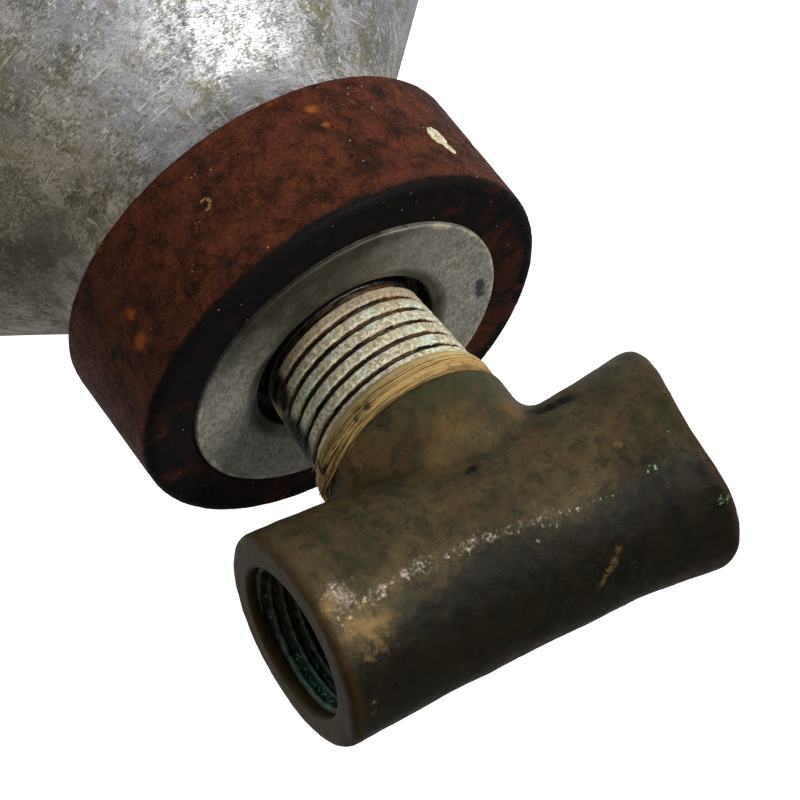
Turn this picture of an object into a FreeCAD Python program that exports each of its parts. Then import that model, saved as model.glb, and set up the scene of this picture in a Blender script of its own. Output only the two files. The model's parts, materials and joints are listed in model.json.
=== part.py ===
"""A small aluminium gas cylinder with a steel neck ring and a cast brass tee, as it was left to weather.

Four pieces: the drawn shell, the ring pressed on its neck, the tee whose tapered male stem is screwed
part of the way into the neck, and the hemp packing wound on the stem under the tee's shoulder.
Frame: millimetres, +Z up the cylinder's axis, origin at the middle of the base, the tee's run along X.
Both taper threads and the two ports inside the tee are plain walls at the size that their crests have.
"""
import FreeCAD, Part
import os
import Sketcher
from FreeCAD import Vector

# Driving dimensions: alias, value and meaning. Lengths are in millimetres and angles in degrees.
DIMENSIONS = [
    ("body_diameter", 100.0, "outside of the shell's straight wall"),
    ("body_wall", 5.5, "thickness of the straight wall"),
    ("ring_seat_height", 340.0, "base to the step that the ring stands on"),
    ("base_thickness", 11.0, "metal at the bottom of the shell"),
    ("base_corner", 14.0, "outer radius between base and wall"),
    ("base_inner_corner", 12.0, "inner radius between base and wall"),
    ("dish_diameter", 56.0, "hollow in the middle of the base"),
    ("dish_depth", 2.5, "depth of that hollow"),
    ("shoulder_angle", 44.5, "half angle of the conical shoulder"),
    ("shoulder_wall", 8.0, "thickness of the conical shoulder, square to it"),
    ("shoulder_blend", 30.0, "outer radius between shoulder and wall"),
    ("shoulder_inner_blend", 24.0, "inner radius between shoulder and wall"),
    ("root_length", 6.9, "ring's step down to where the neck meets the cone"),
    ("root_blend", 6.0, "radius between neck and shoulder"),
    ("seat_diameter", 35.6, "neck inside the ring"),
    ("seat_step", 1.2, "width of the step that the ring stands on"),
    ("ring_wall", 5.4, "neck ring, bore to outside"),
    ("ring_length", 15.9, "length of the neck ring"),
    ("ring_gap", 0.02, "clearance between neck and ring, on the radius"),
    ("ring_front_round", 0.9, "outer front edge of the ring"),
    ("ring_back_round", 0.5, "outer back edge of the ring"),
    ("neck_proud", 0.4, "neck's end face past the front of the ring"),
    ("mouth_bevel", 1.5, "width of the shallow bevel round the mouth"),
    ("mouth_bevel_depth", 0.5, "depth of that bevel"),
    ("mouth_clearance", 1.25, "clear hole at the mouth, past the stem's radius"),
    ("mouth_depth", 3.2, "depth of the clear hole at the mouth"),
    ("thread_gap", 0.05, "clearance round the tapered stem, on the radius"),
    ("thread_runout", 2.0, "tapered hole past the foot of the stem"),
    ("neck_bore", 16.0, "plain bore under the tapered hole"),
    ("stem_diameter", 19.8, "large end of the tapered stem, at the shoulder"),
    ("stem_taper", 0.12, "change of diameter for each millimetre along the stem"),
    ("stem_length", 26.0, "shoulder to the foot of the stem"),
    ("stem_exposed", 12.5, "shoulder to the neck's end face"),
    ("stem_bore", 8.0, "gas way up the stem"),
    ("stem_foot_bevel", 1.0, "bevel round the foot of the stem"),
    ("shoulder_step", 0.45, "tee's shoulder, from the stem out to the branch"),
    ("branch_length", 14.2, "shoulder to the run's axis"),
    ("crotch_round", 1.6, "fillet between branch and run"),
    ("waist_step", 0.4, "run's waist past the branch, on the radius"),
    ("run_waist_length", 22.0, "straight stretch at the run's middle"),
    ("run_a_flare", 0.45, "+X end past the waist, on the radius"),
    ("run_b_flare", 1.05, "-X end past the waist, on the radius"),
    ("run_a_length", 24.6, "branch axis to the longer, -Y side of the +X end"),
    ("run_b_length", 22.8, "branch axis to the longer, +Y side of the -X end"),
    ("run_a_skew", 5.4, "slant that wear has left on the +X end"),
    ("run_b_skew", 8.0, "slant that wear has left on the -X end"),
    ("rim_round", 1.0, "outer edge of each end"),
    ("run_bore", 12.0, "gas way along the run"),
    ("port_diameter", 15.0, "thread crests inside each port"),
    ("port_depth", 12.0, "depth of each port"),
    ("port_cone", 1.5, "drill cone behind each port"),
    ("port_bevel", 0.7, "bevel round each port's mouth"),
    ("packing_length", 2.7, "hemp below the shoulder"),
    ("packing_bulge", 0.5, "hemp past the branch, on the radius"),
    ("packing_thin_end", 0.5, "hemp past the stem at its lower end, on the radius"),
]

# Heights above the base, as expressions on the sheet.
NECK_FACE = "(Dims.ring_seat_height + Dims.ring_length + Dims.neck_proud)"
SHOULDER = f"({NECK_FACE} + Dims.stem_exposed)"
RUN_AXIS = f"({SHOULDER} + Dims.branch_length)"
TAPER_END = f"({SHOULDER} - Dims.stem_length - Dims.thread_runout)"
MOUTH_FLOOR = f"({NECK_FACE} - Dims.mouth_depth)"
ROOT = "(Dims.ring_seat_height - Dims.root_length)"

# Diameters of the tee, each one stepped out from the stem.
BRANCH = "(Dims.stem_diameter + 2 * Dims.shoulder_step)"
WAIST = f"({BRANCH} + 2 * Dims.waist_step)"
RUN_END = {"a": f"({WAIST} + 2 * Dims.run_a_flare)", "b": f"({WAIST} + 2 * Dims.run_b_flare)"}

FULL_TURN = 360.0
ROOT_POINT = -1
START_POINT = 1
END_POINT = 2
TOLERANCE = 1e-3


def half(expression):
    return f"({expression}) / 2"


def stem_radius(below_shoulder):
    """Radius of the tapered stem at a distance below the tee's shoulder."""
    return half(f"Dims.stem_diameter - Dims.stem_taper * ({below_shoulder})")


def make_sheet(doc):
    """The spreadsheet that holds the driving dimensions."""
    sheet = doc.addObject("Spreadsheet::Sheet", "Dims")
    for row, (alias, value, meaning) in enumerate(DIMENSIONS, start=1):
        sheet.set(f"A{row}", meaning)
        sheet.set(f"B{row}", str(value))
        sheet.setAlias(f"B{row}", alias)
    doc.recompute()
    return sheet


def make_body(doc, label, height=None):
    """An empty body named after its piece, lifted to a height given as an expression."""
    body = doc.addObject("PartDesign::Body", label)
    body.Label = label
    if height:
        body.setExpression("Placement.Base.z", height)
    return body


def profile(body, name, corners, role="XZ_Plane"):
    """A closed polygon on one of the body's planes, each corner a pair of expressions."""
    sketch = body.newObject("Sketcher::SketchObject", name)
    plane = next(item for item in body.Origin.OriginFeatures if item.Role == role)
    sketch.AttachmentSupport = [(plane, "")]
    sketch.MapMode = "FlatFace"
    evaluate = body.Document.Dims.evalExpression
    points = [Vector(float(evaluate(across)), float(evaluate(up)), 0) for across, up in corners]
    following = points[1:] + points[:1]
    for start, end in zip(points, following):
        sketch.addGeometry(Part.LineSegment(start, end), False)
    for side in range(len(points)):
        joined = (side + 1) % len(points)
        sketch.addConstraint(Sketcher.Constraint("Coincident", side, END_POINT, joined, START_POINT))
    for side, (corner, point) in enumerate(zip(corners, points)):
        for kind, expression, value in zip(("DistanceX", "DistanceY"), corner, (point.x, point.y)):
            constraint = Sketcher.Constraint(kind, ROOT_POINT, START_POINT, side, START_POINT, value)
            index = sketch.addConstraint(constraint)
            sketch.setExpression(f"Constraints[{index}]", expression)
    return sketch


def volume_before(body):
    return body.Tip.Shape.Volume if body.Tip else 0.0


def turn(body, kind, sketch, axis):
    """Turns the profile fully round one of its sketch's axes: a Revolution adds and a Groove cuts."""
    before = volume_before(body)
    feature = body.newObject(f"PartDesign::{kind}", f"{sketch.Name}_{kind}")
    feature.Profile = sketch
    feature.ReferenceAxis = (sketch, [axis])
    feature.Angle = FULL_TURN
    body.Document.recompute()
    if (feature.Shape.Volume > before) != (kind == "Revolution"):
        raise RuntimeError(f"{feature.Name} changed the volume the wrong way")
    return feature


def cut_across(body, sketch):
    """Cuts the profile right through the body, both ways from its plane."""
    before = volume_before(body)
    pocket = body.newObject("PartDesign::Pocket", f"{sketch.Name}_Pocket")
    pocket.Profile = sketch
    pocket.Type = "ThroughAll"
    pocket.Midplane = True
    body.Document.recompute()
    if pocket.Shape.Volume >= before:
        raise RuntimeError(f"{pocket.Name} cut nothing")
    return pocket


def dress(body, kind, name, wanted, size):
    """A Fillet or Chamfer on those edges of the body's last feature that the test picks out."""
    base = body.Tip
    edges = [f"Edge{number}" for number, edge in enumerate(base.Shape.Edges, start=1) if wanted(edge)]
    if not edges:
        raise RuntimeError(f"{name} found no edge")
    feature = body.newObject(f"PartDesign::{kind}", name)
    feature.Base = (base, edges)
    feature.setExpression("Radius" if kind == "Fillet" else "Size", size)
    body.Document.recompute()
    return feature


def circle_at(sheet, radius, height):
    """A test for the circular edge of that radius, square to the body's Z axis, at that height."""
    wanted_radius = float(sheet.evalExpression(radius))
    wanted_height = float(sheet.evalExpression(height))

    def test(edge):
        if not isinstance(edge.Curve, Part.Circle):
            return False
        right_size = abs(edge.Curve.Radius - wanted_radius) < TOLERANCE
        return right_size and abs(edge.Curve.Center.z - wanted_height) < TOLERANCE
    return test


def make_shell(doc, sheet):
    """The one-piece shell: dished base, straight wall, conical shoulder, neck and its stepped bore."""
    outer = half("Dims.body_diameter")
    inner = f"{outer} - Dims.body_wall"
    root_radius = f"({half('Dims.seat_diameter')} + Dims.seat_step)"
    slope = "tan(Dims.shoulder_angle * 1 deg)"
    shoulder_offset = "Dims.shoulder_wall / cos(Dims.shoulder_angle * 1 deg)"
    wall_top = f"{ROOT} - ({outer} - {root_radius}) / {slope}"
    inner_wall_top = f"{ROOT} - ({inner} + {shoulder_offset} - {root_radius}) / {slope}"
    inner_neck = f"{ROOT} - ({half('Dims.neck_bore')} + {shoulder_offset} - {root_radius}) / {slope}"
    seat = half("Dims.seat_diameter")
    mouth = f"{stem_radius('Dims.stem_exposed')} + Dims.mouth_clearance"
    taper_top = f"{stem_radius('Dims.stem_exposed + Dims.mouth_depth')} + Dims.thread_gap"
    taper_foot = f"{stem_radius('Dims.stem_length + Dims.thread_runout')} + Dims.thread_gap"
    body = make_body(doc, "cylinder_shell")
    section = profile(body, "shell_section", [
        ("0", "Dims.dish_depth"),
        (half("Dims.dish_diameter"), "0"),
        (outer, "0"),
        (outer, wall_top),
        (root_radius, ROOT),
        (root_radius, "Dims.ring_seat_height"),
        (seat, "Dims.ring_seat_height"),
        (seat, NECK_FACE),
        (f"{mouth} + Dims.mouth_bevel", NECK_FACE),
        (mouth, f"{NECK_FACE} - Dims.mouth_bevel_depth"),
        (mouth, MOUTH_FLOOR),
        (taper_top, MOUTH_FLOOR),
        (taper_foot, TAPER_END),
        (half("Dims.neck_bore"), TAPER_END),
        (half("Dims.neck_bore"), inner_neck),
        (inner, inner_wall_top),
        (inner, "Dims.base_thickness"),
        ("0", "Dims.base_thickness"),
    ])
    turn(body, "Revolution", section, "V_Axis")
    corners = [
        ("base_corner", outer, "0"),
        ("shoulder_blend", outer, wall_top),
        ("root_blend", root_radius, ROOT),
        ("shoulder_inner_blend", inner, inner_wall_top),
        ("base_inner_corner", inner, "Dims.base_thickness"),
    ]
    for size, radius, height in corners:
        dress(body, "Fillet", f"round_{size}", circle_at(sheet, radius, height), f"Dims.{size}")
    return body


def make_ring(doc, sheet):
    """The steel ring pressed on the neck, standing on the neck's step."""
    seat = half("Dims.seat_diameter")
    bore = f"{seat} + Dims.ring_gap"
    outside = f"{seat} + Dims.ring_wall"
    body = make_body(doc, "neck_ring", "Dims.ring_seat_height")
    section = profile(body, "ring_section", [
        (bore, "0"),
        (outside, "0"),
        (outside, "Dims.ring_length"),
        (bore, "Dims.ring_length"),
    ])
    turn(body, "Revolution", section, "V_Axis")
    front = circle_at(sheet, outside, "Dims.ring_length")
    dress(body, "Fillet", "round_front", front, "Dims.ring_front_round")
    dress(body, "Fillet", "round_back", circle_at(sheet, outside, "0"), "Dims.ring_back_round")
    return body


def make_packing(doc):
    """The hemp wound on the top of the stem, squeezed out against the tee's shoulder."""
    length = "Dims.packing_length"
    body = make_body(doc, "hemp_packing", SHOULDER)
    section = profile(body, "packing_section", [
        (f"{stem_radius(length)} + Dims.thread_gap", f"-{length}"),
        (f"{stem_radius(length)} + Dims.packing_thin_end", f"-{length}"),
        (f"{half(BRANCH)} + Dims.packing_bulge", f"-{half(length)}"),
        (half(BRANCH), "0"),
        (f"{stem_radius('0')} + Dims.thread_gap", "0"),
    ])
    turn(body, "Revolution", section, "V_Axis")
    return body


def end_cut(side, length, diameter, skew):
    """Corners, in plan, of the wedge worn off one end; side is 1 for +X and -1 for -X."""
    reach = f"{side} * {length}"
    far = f"{side} * ({length} + {diameter})"
    kept_edge = f"{-side} * {half(diameter)}"
    cut_edge = f"{side} * {diameter}"
    worn = f"{side} * ({length} - {half('3 * ' + diameter)} * tan({skew} * 1 deg))"
    return [(reach, kept_edge), (far, kept_edge), (far, cut_edge), (worn, cut_edge)]


def make_tee(doc, sheet):
    """The cast tee: tapered male stem, round branch, waisted run and a threaded port at each end."""
    body = make_body(doc, "tee_body", RUN_AXIS)
    shoulder = "-Dims.branch_length"
    foot = "-Dims.branch_length - Dims.stem_length"
    foot_radius = stem_radius("Dims.stem_length")
    branch = half(BRANCH)
    stem = profile(body, "stem_section", [
        ("0", "0"),
        (branch, "0"),
        (branch, shoulder),
        (stem_radius("0"), shoulder),
        (foot_radius, f"{foot} + Dims.stem_foot_bevel"),
        (f"{foot_radius} - Dims.stem_foot_bevel", foot),
        ("0", foot),
    ])
    turn(body, "Revolution", stem, "V_Axis")
    waist = half(WAIST)
    run = profile(body, "run_section", [
        ("-Dims.run_b_length", "0"),
        ("-Dims.run_b_length", half(RUN_END["b"])),
        (f"-{half('Dims.run_waist_length')}", waist),
        (half("Dims.run_waist_length"), waist),
        ("Dims.run_a_length", half(RUN_END["a"])),
        ("Dims.run_a_length", "0"),
    ])
    turn(body, "Revolution", run, "H_Axis")

    def crotch(edge):
        return not isinstance(edge.Curve, (Part.Circle, Part.Line))
    dress(body, "Fillet", "round_crotch", crotch, "Dims.crotch_round")

    ends = (("a", 1), ("b", -1))
    for name, side in ends:
        corners = end_cut(side, f"Dims.run_{name}_length", RUN_END[name], f"Dims.run_{name}_skew")
        cut_across(body, profile(body, f"worn_end_{name}", corners, "XY_Plane"))

    def past_port(edge):
        depth = sheet.port_depth
        box = edge.BoundBox
        right = box.XMin > sheet.run_a_length - depth
        left = box.XMax < depth - sheet.run_b_length
        return (right or left) and not isinstance(edge.Curve, Part.Line)
    dress(body, "Fillet", "round_rims", past_port, "Dims.rim_round")

    port = half("Dims.port_diameter")
    gas_way = half("Dims.run_bore")
    port_back = "Dims.port_depth"
    cone_back = "(Dims.port_depth + Dims.port_cone)"
    ways = profile(body, "run_bore_section", [
        ("-Dims.run_b_length", "0"),
        ("-Dims.run_b_length", port),
        (f"{port_back} - Dims.run_b_length", port),
        (f"{cone_back} - Dims.run_b_length", gas_way),
        (f"Dims.run_a_length - {cone_back}", gas_way),
        (f"Dims.run_a_length - {port_back}", port),
        ("Dims.run_a_length", port),
        ("Dims.run_a_length", "0"),
    ])
    turn(body, "Groove", ways, "H_Axis")
    stem_way = profile(body, "stem_bore_section", [
        ("0", "0"),
        (half("Dims.stem_bore"), "0"),
        (half("Dims.stem_bore"), foot),
        ("0", foot),
    ])
    turn(body, "Groove", stem_way, "V_Axis")

    def port_mouth(edge):
        round_the_port = abs(edge.BoundBox.YLength - sheet.port_diameter) < TOLERANCE * 10
        return past_port(edge) and round_the_port and edge.BoundBox.XLength > TOLERANCE
    dress(body, "Chamfer", "bevel_mouths", port_mouth, "Dims.port_bevel")
    return body


def check(doc, bodies):
    """Stops the build if any object failed or any piece isn't one sound solid."""
    for item in doc.Objects:
        if "Invalid" in item.State or "Error" in item.State:
            raise RuntimeError(f"{item.Label} failed: {item.State}")
    for body in bodies:
        if body.Shape.isNull() or not body.Shape.isValid() or len(body.Shape.Solids) != 1:
            raise RuntimeError(f"{body.Label} is not one valid solid")


def main():
    doc = FreeCAD.newDocument("gas_cylinder")
    sheet = make_sheet(doc)
    bodies = [make_shell(doc, sheet), make_ring(doc, sheet), make_packing(doc), make_tee(doc, sheet)]
    doc.recompute()
    check(doc, bodies)
    os.makedirs("parts", exist_ok=True)
    for body in bodies:
        body.Shape.exportStep(f"parts/{body.Label}.step")
        box = body.Shape.BoundBox
        print(f"{body.Label}: {body.Shape.Volume:.0f} mm3, z {box.ZMin:.2f} to {box.ZMax:.2f}")


main()
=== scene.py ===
"""Looks of the worn neck fitting on a bare gas cylinder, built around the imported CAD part.

Lengths in this script are in millimetres in the part's frame, and become metres when a mesh is made.
"""

import json
import math

import bpy
import numpy as np
from mathutils import Matrix, Vector, noise


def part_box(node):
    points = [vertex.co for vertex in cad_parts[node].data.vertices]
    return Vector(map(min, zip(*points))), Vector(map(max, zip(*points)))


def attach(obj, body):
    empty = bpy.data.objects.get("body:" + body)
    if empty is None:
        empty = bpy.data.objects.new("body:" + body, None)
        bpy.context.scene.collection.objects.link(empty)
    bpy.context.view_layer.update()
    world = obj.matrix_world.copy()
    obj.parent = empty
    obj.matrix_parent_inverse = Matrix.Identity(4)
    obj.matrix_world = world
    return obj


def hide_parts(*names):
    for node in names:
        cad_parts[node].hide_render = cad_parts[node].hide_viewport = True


MM = 0.001
TURN = 2 * math.pi

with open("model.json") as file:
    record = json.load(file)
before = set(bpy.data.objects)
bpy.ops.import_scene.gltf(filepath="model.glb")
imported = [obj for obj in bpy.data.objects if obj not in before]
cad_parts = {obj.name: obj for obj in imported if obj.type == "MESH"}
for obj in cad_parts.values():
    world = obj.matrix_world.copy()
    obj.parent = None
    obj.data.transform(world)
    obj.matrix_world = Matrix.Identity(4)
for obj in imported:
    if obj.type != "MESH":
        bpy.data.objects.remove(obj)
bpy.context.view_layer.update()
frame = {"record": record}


def reach(node):
    """Lowest and highest corner of a CAD node, in mm."""
    low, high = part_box(node)
    return np.array(low) / MM, np.array(high) / MM


shell_high = reach("cylinder_shell")[1]
ring_low, ring_high = reach("neck_ring")
tee_low, tee_high = reach("tee_body")
mounts = {m["name"]: m for m in frame["record"]["mounts"]}

SEAT = ring_low[2]
RING_TOP = ring_high[2]
RING_RADIUS = ring_high[0]
FACE = shell_high[2]
BODY_RADIUS = shell_high[0]
AXIS = mounts["port_a"]["pos_m"][2] / MM
PORT_RADIUS = mounts["port_a"]["dims"]["r_mm"]
BRANCH_LENGTH = 14.2
SHOULDER = AXIS - BRANCH_LENGTH
END_A = tee_high[0]
END_B = -tee_low[0]
NEAR_SIDE = math.radians(-62)

rng = np.random.default_rng(7)


# ---- numbers and noise

def lumps(points, size, seed=0.0):
    """Smooth noise from about -1 to 1 at points in mm, its lumps about size mm across."""
    scaled = (points / size + seed).tolist()
    return np.array([noise.noise(p) for p in scaled])


def rough(points, size, octaves=4, seed=0.0):
    """Noise with finer and finer lumps added, from about -1 to 1."""
    scaled = (points / size + seed).tolist()
    return np.array([noise.fractal(p, 0.9, 2.1, octaves) for p in scaled])


def ease(value, low, high):
    """0 at low, 1 at high, eased between."""
    t = np.clip((value - low) / (high - low), 0, 1)
    return t * t * (3 - 2 * t)


def smooth_low(a, b, k):
    """The lower of two distances, with the crease filled over k mm."""
    h = np.clip(0.5 + 0.5 * (b - a) / k, 0, 1)
    return b * (1 - h) + a * h - k * h * (1 - h)


def smooth_high(a, b, k):
    """The higher of two distances, with the edge rounded over k mm."""
    return -smooth_low(-a, -b, k)


def spots(points, places):
    """1 at the middle of the nearest place (x, y, z, radius), 0 at its edge, and below 0 outside."""
    best = np.full(len(points), -9.0)
    for x, y, z, radius in places:
        away = np.linalg.norm(points - (x, y, z), axis=1)
        best = np.maximum(best, 1 - away / radius)
    return best


def stroke(points, start, end, radius):
    """1 on the straight line from start to end, 0 at radius from it, and below 0 outside."""
    start, end = np.array(start), np.array(end)
    along = end - start
    share = np.clip((points - start) @ along / (along @ along), 0, 1)
    return 1 - np.linalg.norm(points - start - share[:, None] * along, axis=1) / radius


def round_spots(angles, heights, radius, places):
    """As spots, for places (degrees round Z, height, half width, half height) on a round surface."""
    best = np.full(len(angles), -9.0)
    for degrees, height, half_width, half_height in places:
        turn = (angles - math.radians(degrees) + math.pi) % TURN - math.pi
        away = np.hypot(turn * radius / half_width, (heights - height) / half_height)
        best = np.maximum(best, 1 - away)
    return best


def polar(points):
    """Angle round the Z axis and distance from it."""
    return np.arctan2(points[:, 1], points[:, 0]), np.hypot(points[:, 0], points[:, 1])


def at_angle(radius, angle, height):
    """Points at a radius, an angle round the Z axis and a height."""
    x, y = radius * np.cos(angle), radius * np.sin(angle)
    return np.stack(np.broadcast_arrays(x, y, height), axis=-1)


# ---- meshes

def make_mesh(name, points, faces, fields=None, smooth=True):
    """A mesh object from points in mm and a list of face arrays, with float fields on its points."""
    mesh = bpy.data.meshes.new(name)
    mesh.vertices.add(len(points))
    mesh.vertices.foreach_set("co", (points * MM).astype(np.float32).ravel())
    corners = np.concatenate([f.ravel() for f in faces])
    sizes = np.concatenate([np.full(len(f), f.shape[1]) for f in faces])
    starts = np.concatenate([[0], np.cumsum(sizes)[:-1]])
    mesh.loops.add(len(corners))
    mesh.loops.foreach_set("vertex_index", corners.astype(np.int32))
    mesh.polygons.add(len(sizes))
    mesh.polygons.foreach_set("loop_start", starts.astype(np.int32))
    mesh.polygons.foreach_set("use_smooth", np.full(len(sizes), smooth))
    for field, values in (fields or {}).items():
        layer = mesh.attributes.new(field, "FLOAT", "POINT")
        layer.data.foreach_set("value", values.astype(np.float32))
    mesh.update(calc_edges=True)
    mesh.validate()
    made = bpy.data.objects.new(name, mesh)
    bpy.context.scene.collection.objects.link(made)
    return made


def finish_piece(piece, material, stands_for=None):
    """Gives a piece its material and its body."""
    piece.data.materials.append(material)
    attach(piece, "root")
    if stands_for:
        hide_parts(stands_for)
    return piece


def lattice(rows, columns, rows_close, columns_close):
    """Quads of a lattice of points that are numbered row by row; rows and columns may close up."""
    i = np.arange(rows if rows_close else rows - 1)[:, None]
    j = np.arange(columns if columns_close else columns - 1)[None, :]
    here, ahead = i * columns, (i + 1) % rows * columns
    beside = (j + 1) % columns
    return np.stack([here + j, ahead + j, ahead + beside, here + beside], axis=-1).reshape(-1, 4)


def rounded(corners, closed, arc_steps=8):
    """The (radius, height) line through corners (radius, height, rounding), each rounding an arc."""
    line = []
    count = len(corners)
    for i, (radius, height, rounding) in enumerate(corners):
        here = np.array([radius, height])
        if rounding == 0 or (not closed and i in (0, count - 1)):
            line.append(here)
            continue
        before = np.array(corners[i - 1][:2]) - here
        after = np.array(corners[(i + 1) % count][:2]) - here
        before = before / np.linalg.norm(before)
        after = after / np.linalg.norm(after)
        half = math.acos(np.clip(before @ after, -1, 1)) / 2
        middle = before + after
        centre = here + middle / np.linalg.norm(middle) * rounding / math.sin(half)
        start = here + before * rounding / math.tan(half)
        end = here + after * rounding / math.tan(half)
        first = math.atan2(*(start - centre)[::-1])
        last = math.atan2(*(end - centre)[::-1])
        swing = (last - first + math.pi) % TURN - math.pi
        for t in np.linspace(0, 1, arc_steps + 1):
            angle = first + swing * t
            line.append(centre + rounding * np.array([math.cos(angle), math.sin(angle)]))
    return np.array(line)


def divided(line, closed, step):
    """The line with each run divided so that its pieces are at most step(middle) long."""
    ends = np.roll(line, -1, axis=0) if closed else line[1:]
    starts = line if closed else line[:-1]
    out = []
    for a, b in zip(starts, ends):
        pieces = max(1, math.ceil(np.linalg.norm(b - a) / step((a + b) / 2)))
        out.extend(a + (b - a) * t for t in np.arange(pieces) / pieces)
    if not closed:
        out.append(line[-1])
    return np.array(out)


def turned(line, turns, closed):
    """Points and faces of a line turned about Z; an open line starts and ends on the axis."""
    body = line if closed else line[1:-1]
    rows = len(body)
    angles = np.arange(turns) * TURN / turns
    points = at_angle(body[:, 0], angles[:, None], body[:, 1]).reshape(-1, 3)
    faces = [lattice(turns, rows, True, closed)]
    if not closed:
        first, last = len(points), len(points) + 1
        points = np.vstack([points, [[0, 0, line[0][1]], [0, 0, line[-1][1]]]])
        k = np.arange(turns) * rows
        n = np.roll(k, -1)
        faces.append(np.stack([np.full(turns, first), n, k], axis=-1))
        faces.append(np.stack([np.full(turns, last), k + rows - 1, n + rows - 1], axis=-1))
    return points, faces


def pushed_out(points, amount):
    """Points moved away from the Z axis by amount."""
    radius = np.maximum(polar(points)[1], 1e-6)
    grown = points.copy()
    grown[:, :2] *= ((radius + amount) / radius)[:, None]
    return grown


# ---- materials

WHITE = (1, 1, 1, 1)


def tone(red, green, blue):
    """A display colour, 0 to 255, as Blender's linear colour."""
    def linear(value):
        share = value / 255
        return share / 12.92 if share <= 0.04045 else ((share + 0.055) / 1.055) ** 2.4
    return (linear(red), linear(green), linear(blue), 1.0)


def add_node(tree, kind, inputs=None, **settings):
    """A new node with its settings, and its inputs joined or set."""
    node = tree.nodes.new(kind)
    for key, value in settings.items():
        setattr(node, key, value)
    for key, value in (inputs or {}).items():
        if isinstance(value, bpy.types.NodeSocket):
            tree.links.new(value, node.inputs[key])
        else:
            node.inputs[key].default_value = value
    return node


class Paint:
    """Short ways to build the nodes of one material, whose colour is laid on coat by coat."""

    def __init__(self, name):
        self.material = bpy.data.materials.new(name)
        self.material.use_nodes = True
        self.tree = self.material.node_tree
        self.tree.nodes.clear()
        where = {0: self.put("ShaderNodeTexCoord").outputs["Object"], 3: 1 / MM}
        self.place = self.put("ShaderNodeVectorMath", where, operation="SCALE").outputs[0]

    def put(self, kind, inputs=None, **settings):
        """A new node of this material."""
        return add_node(self.tree, kind, inputs, **settings)

    def field(self, name):
        """A float field of the mesh."""
        return self.put("ShaderNodeAttribute", attribute_name=name).outputs["Fac"]

    def axis(self, name):
        """One coordinate of the point, in mm."""
        return self.put("ShaderNodeSeparateXYZ", {0: self.place}).outputs[name]

    def grain(self, size, detail=3.0, harshness=0.55, bend=0.0, place=None, shift=0.0):
        """Noise from 0 to 1 with features about size mm across."""
        place = place or self.place
        if shift:
            place = self.put("ShaderNodeVectorMath", {0: place, 1: (shift, shift, shift)}).outputs[0]
        inputs = {"Vector": place, "Scale": 1 / size, "Detail": detail}
        inputs.update({"Roughness": harshness, "Distortion": bend})
        return self.put("ShaderNodeTexNoise", inputs).outputs["Fac"]

    def cells(self, size):
        """Distance to the nearest of scattered points, in cells of size mm."""
        inputs = {"Vector": self.place, "Scale": 1 / size}
        return self.put("ShaderNodeTexVoronoi", inputs).outputs["Distance"]

    def streaks(self, turn, squeeze, size, detail=3.0, bend=0.0):
        """Noise drawn out into long lines: turn is the direction in degrees, squeeze its stretch."""
        inputs = {0: self.place, 2: tuple(math.radians(t) for t in turn), 3: squeeze}
        place = self.put("ShaderNodeMapping", inputs).outputs[0]
        return self.grain(size, detail, bend=bend, place=place)

    def chain(self, operation, terms):
        """Terms joined in turn by one kind of arithmetic."""
        result = terms[0]
        for term in terms[1:]:
            result = self.put("ShaderNodeMath", {0: result, 1: term}, operation=operation).outputs[0]
        return result

    def add(self, *terms):
        """Terms added together."""
        return self.chain("ADD", terms)

    def times(self, *terms):
        """Terms multiplied together."""
        return self.chain("MULTIPLY", terms)

    def swing(self, grain, amount):
        """Noise moved to lie about 0, and scaled by amount."""
        return self.times(self.chain("SUBTRACT", [grain, 0.5]), amount)

    def ragged(self, name, grain, amount):
        """A field of the mesh, with its outlines broken up by noise."""
        return self.add(self.field(name), self.swing(grain, amount))

    def between(self, value, low, high, top=1.0, bottom=0.0):
        """Eases from bottom to top as value goes from low to high."""
        inputs = {0: value, 1: low, 2: high, 3: bottom, 4: top}
        return self.put("ShaderNodeMapRange", inputs, interpolation_type="SMOOTHSTEP").outputs[0]

    def mix(self, share, a, b, kind="MIX"):
        """Two colours mixed."""
        node = self.put("ShaderNodeMix", {0: share, 6: a, 7: b}, data_type="RGBA", blend_type=kind)
        return node.outputs[2]

    def blend(self, share, a, b):
        """Two display colours mixed."""
        return self.mix(share, tone(*a), tone(*b))

    def coat(self, share, *rgb, kind="MIX"):
        """Lays a display colour over the colour so far."""
        self.colour = self.mix(share, self.colour, tone(*rgb), kind)

    def bumps(self, *layers):
        """A normal from layers of a height from 0 to 1 and its depth in mm."""
        inputs = {"Strength": 1.0}
        for height, depth in layers:
            inputs.update({"Height": height, "Distance": depth * MM})
            inputs["Normal"] = self.put("ShaderNodeBump", inputs).outputs[0]
        return inputs["Normal"]

    def shade(self, roughness, normal, metallic=0.0, **fixed):
        """The closing shader; fixed holds socket values that are the same all over."""
        inputs = {"Base Color": self.colour, "Roughness": roughness, "Normal": normal}
        inputs["Metallic"] = metallic
        inputs.update({key.replace("_", " "): value for key, value in fixed.items()})
        shader = self.put("ShaderNodeBsdfPrincipled", inputs)
        self.put("ShaderNodeOutputMaterial", {0: shader.outputs[0]})
        return self.material


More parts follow.
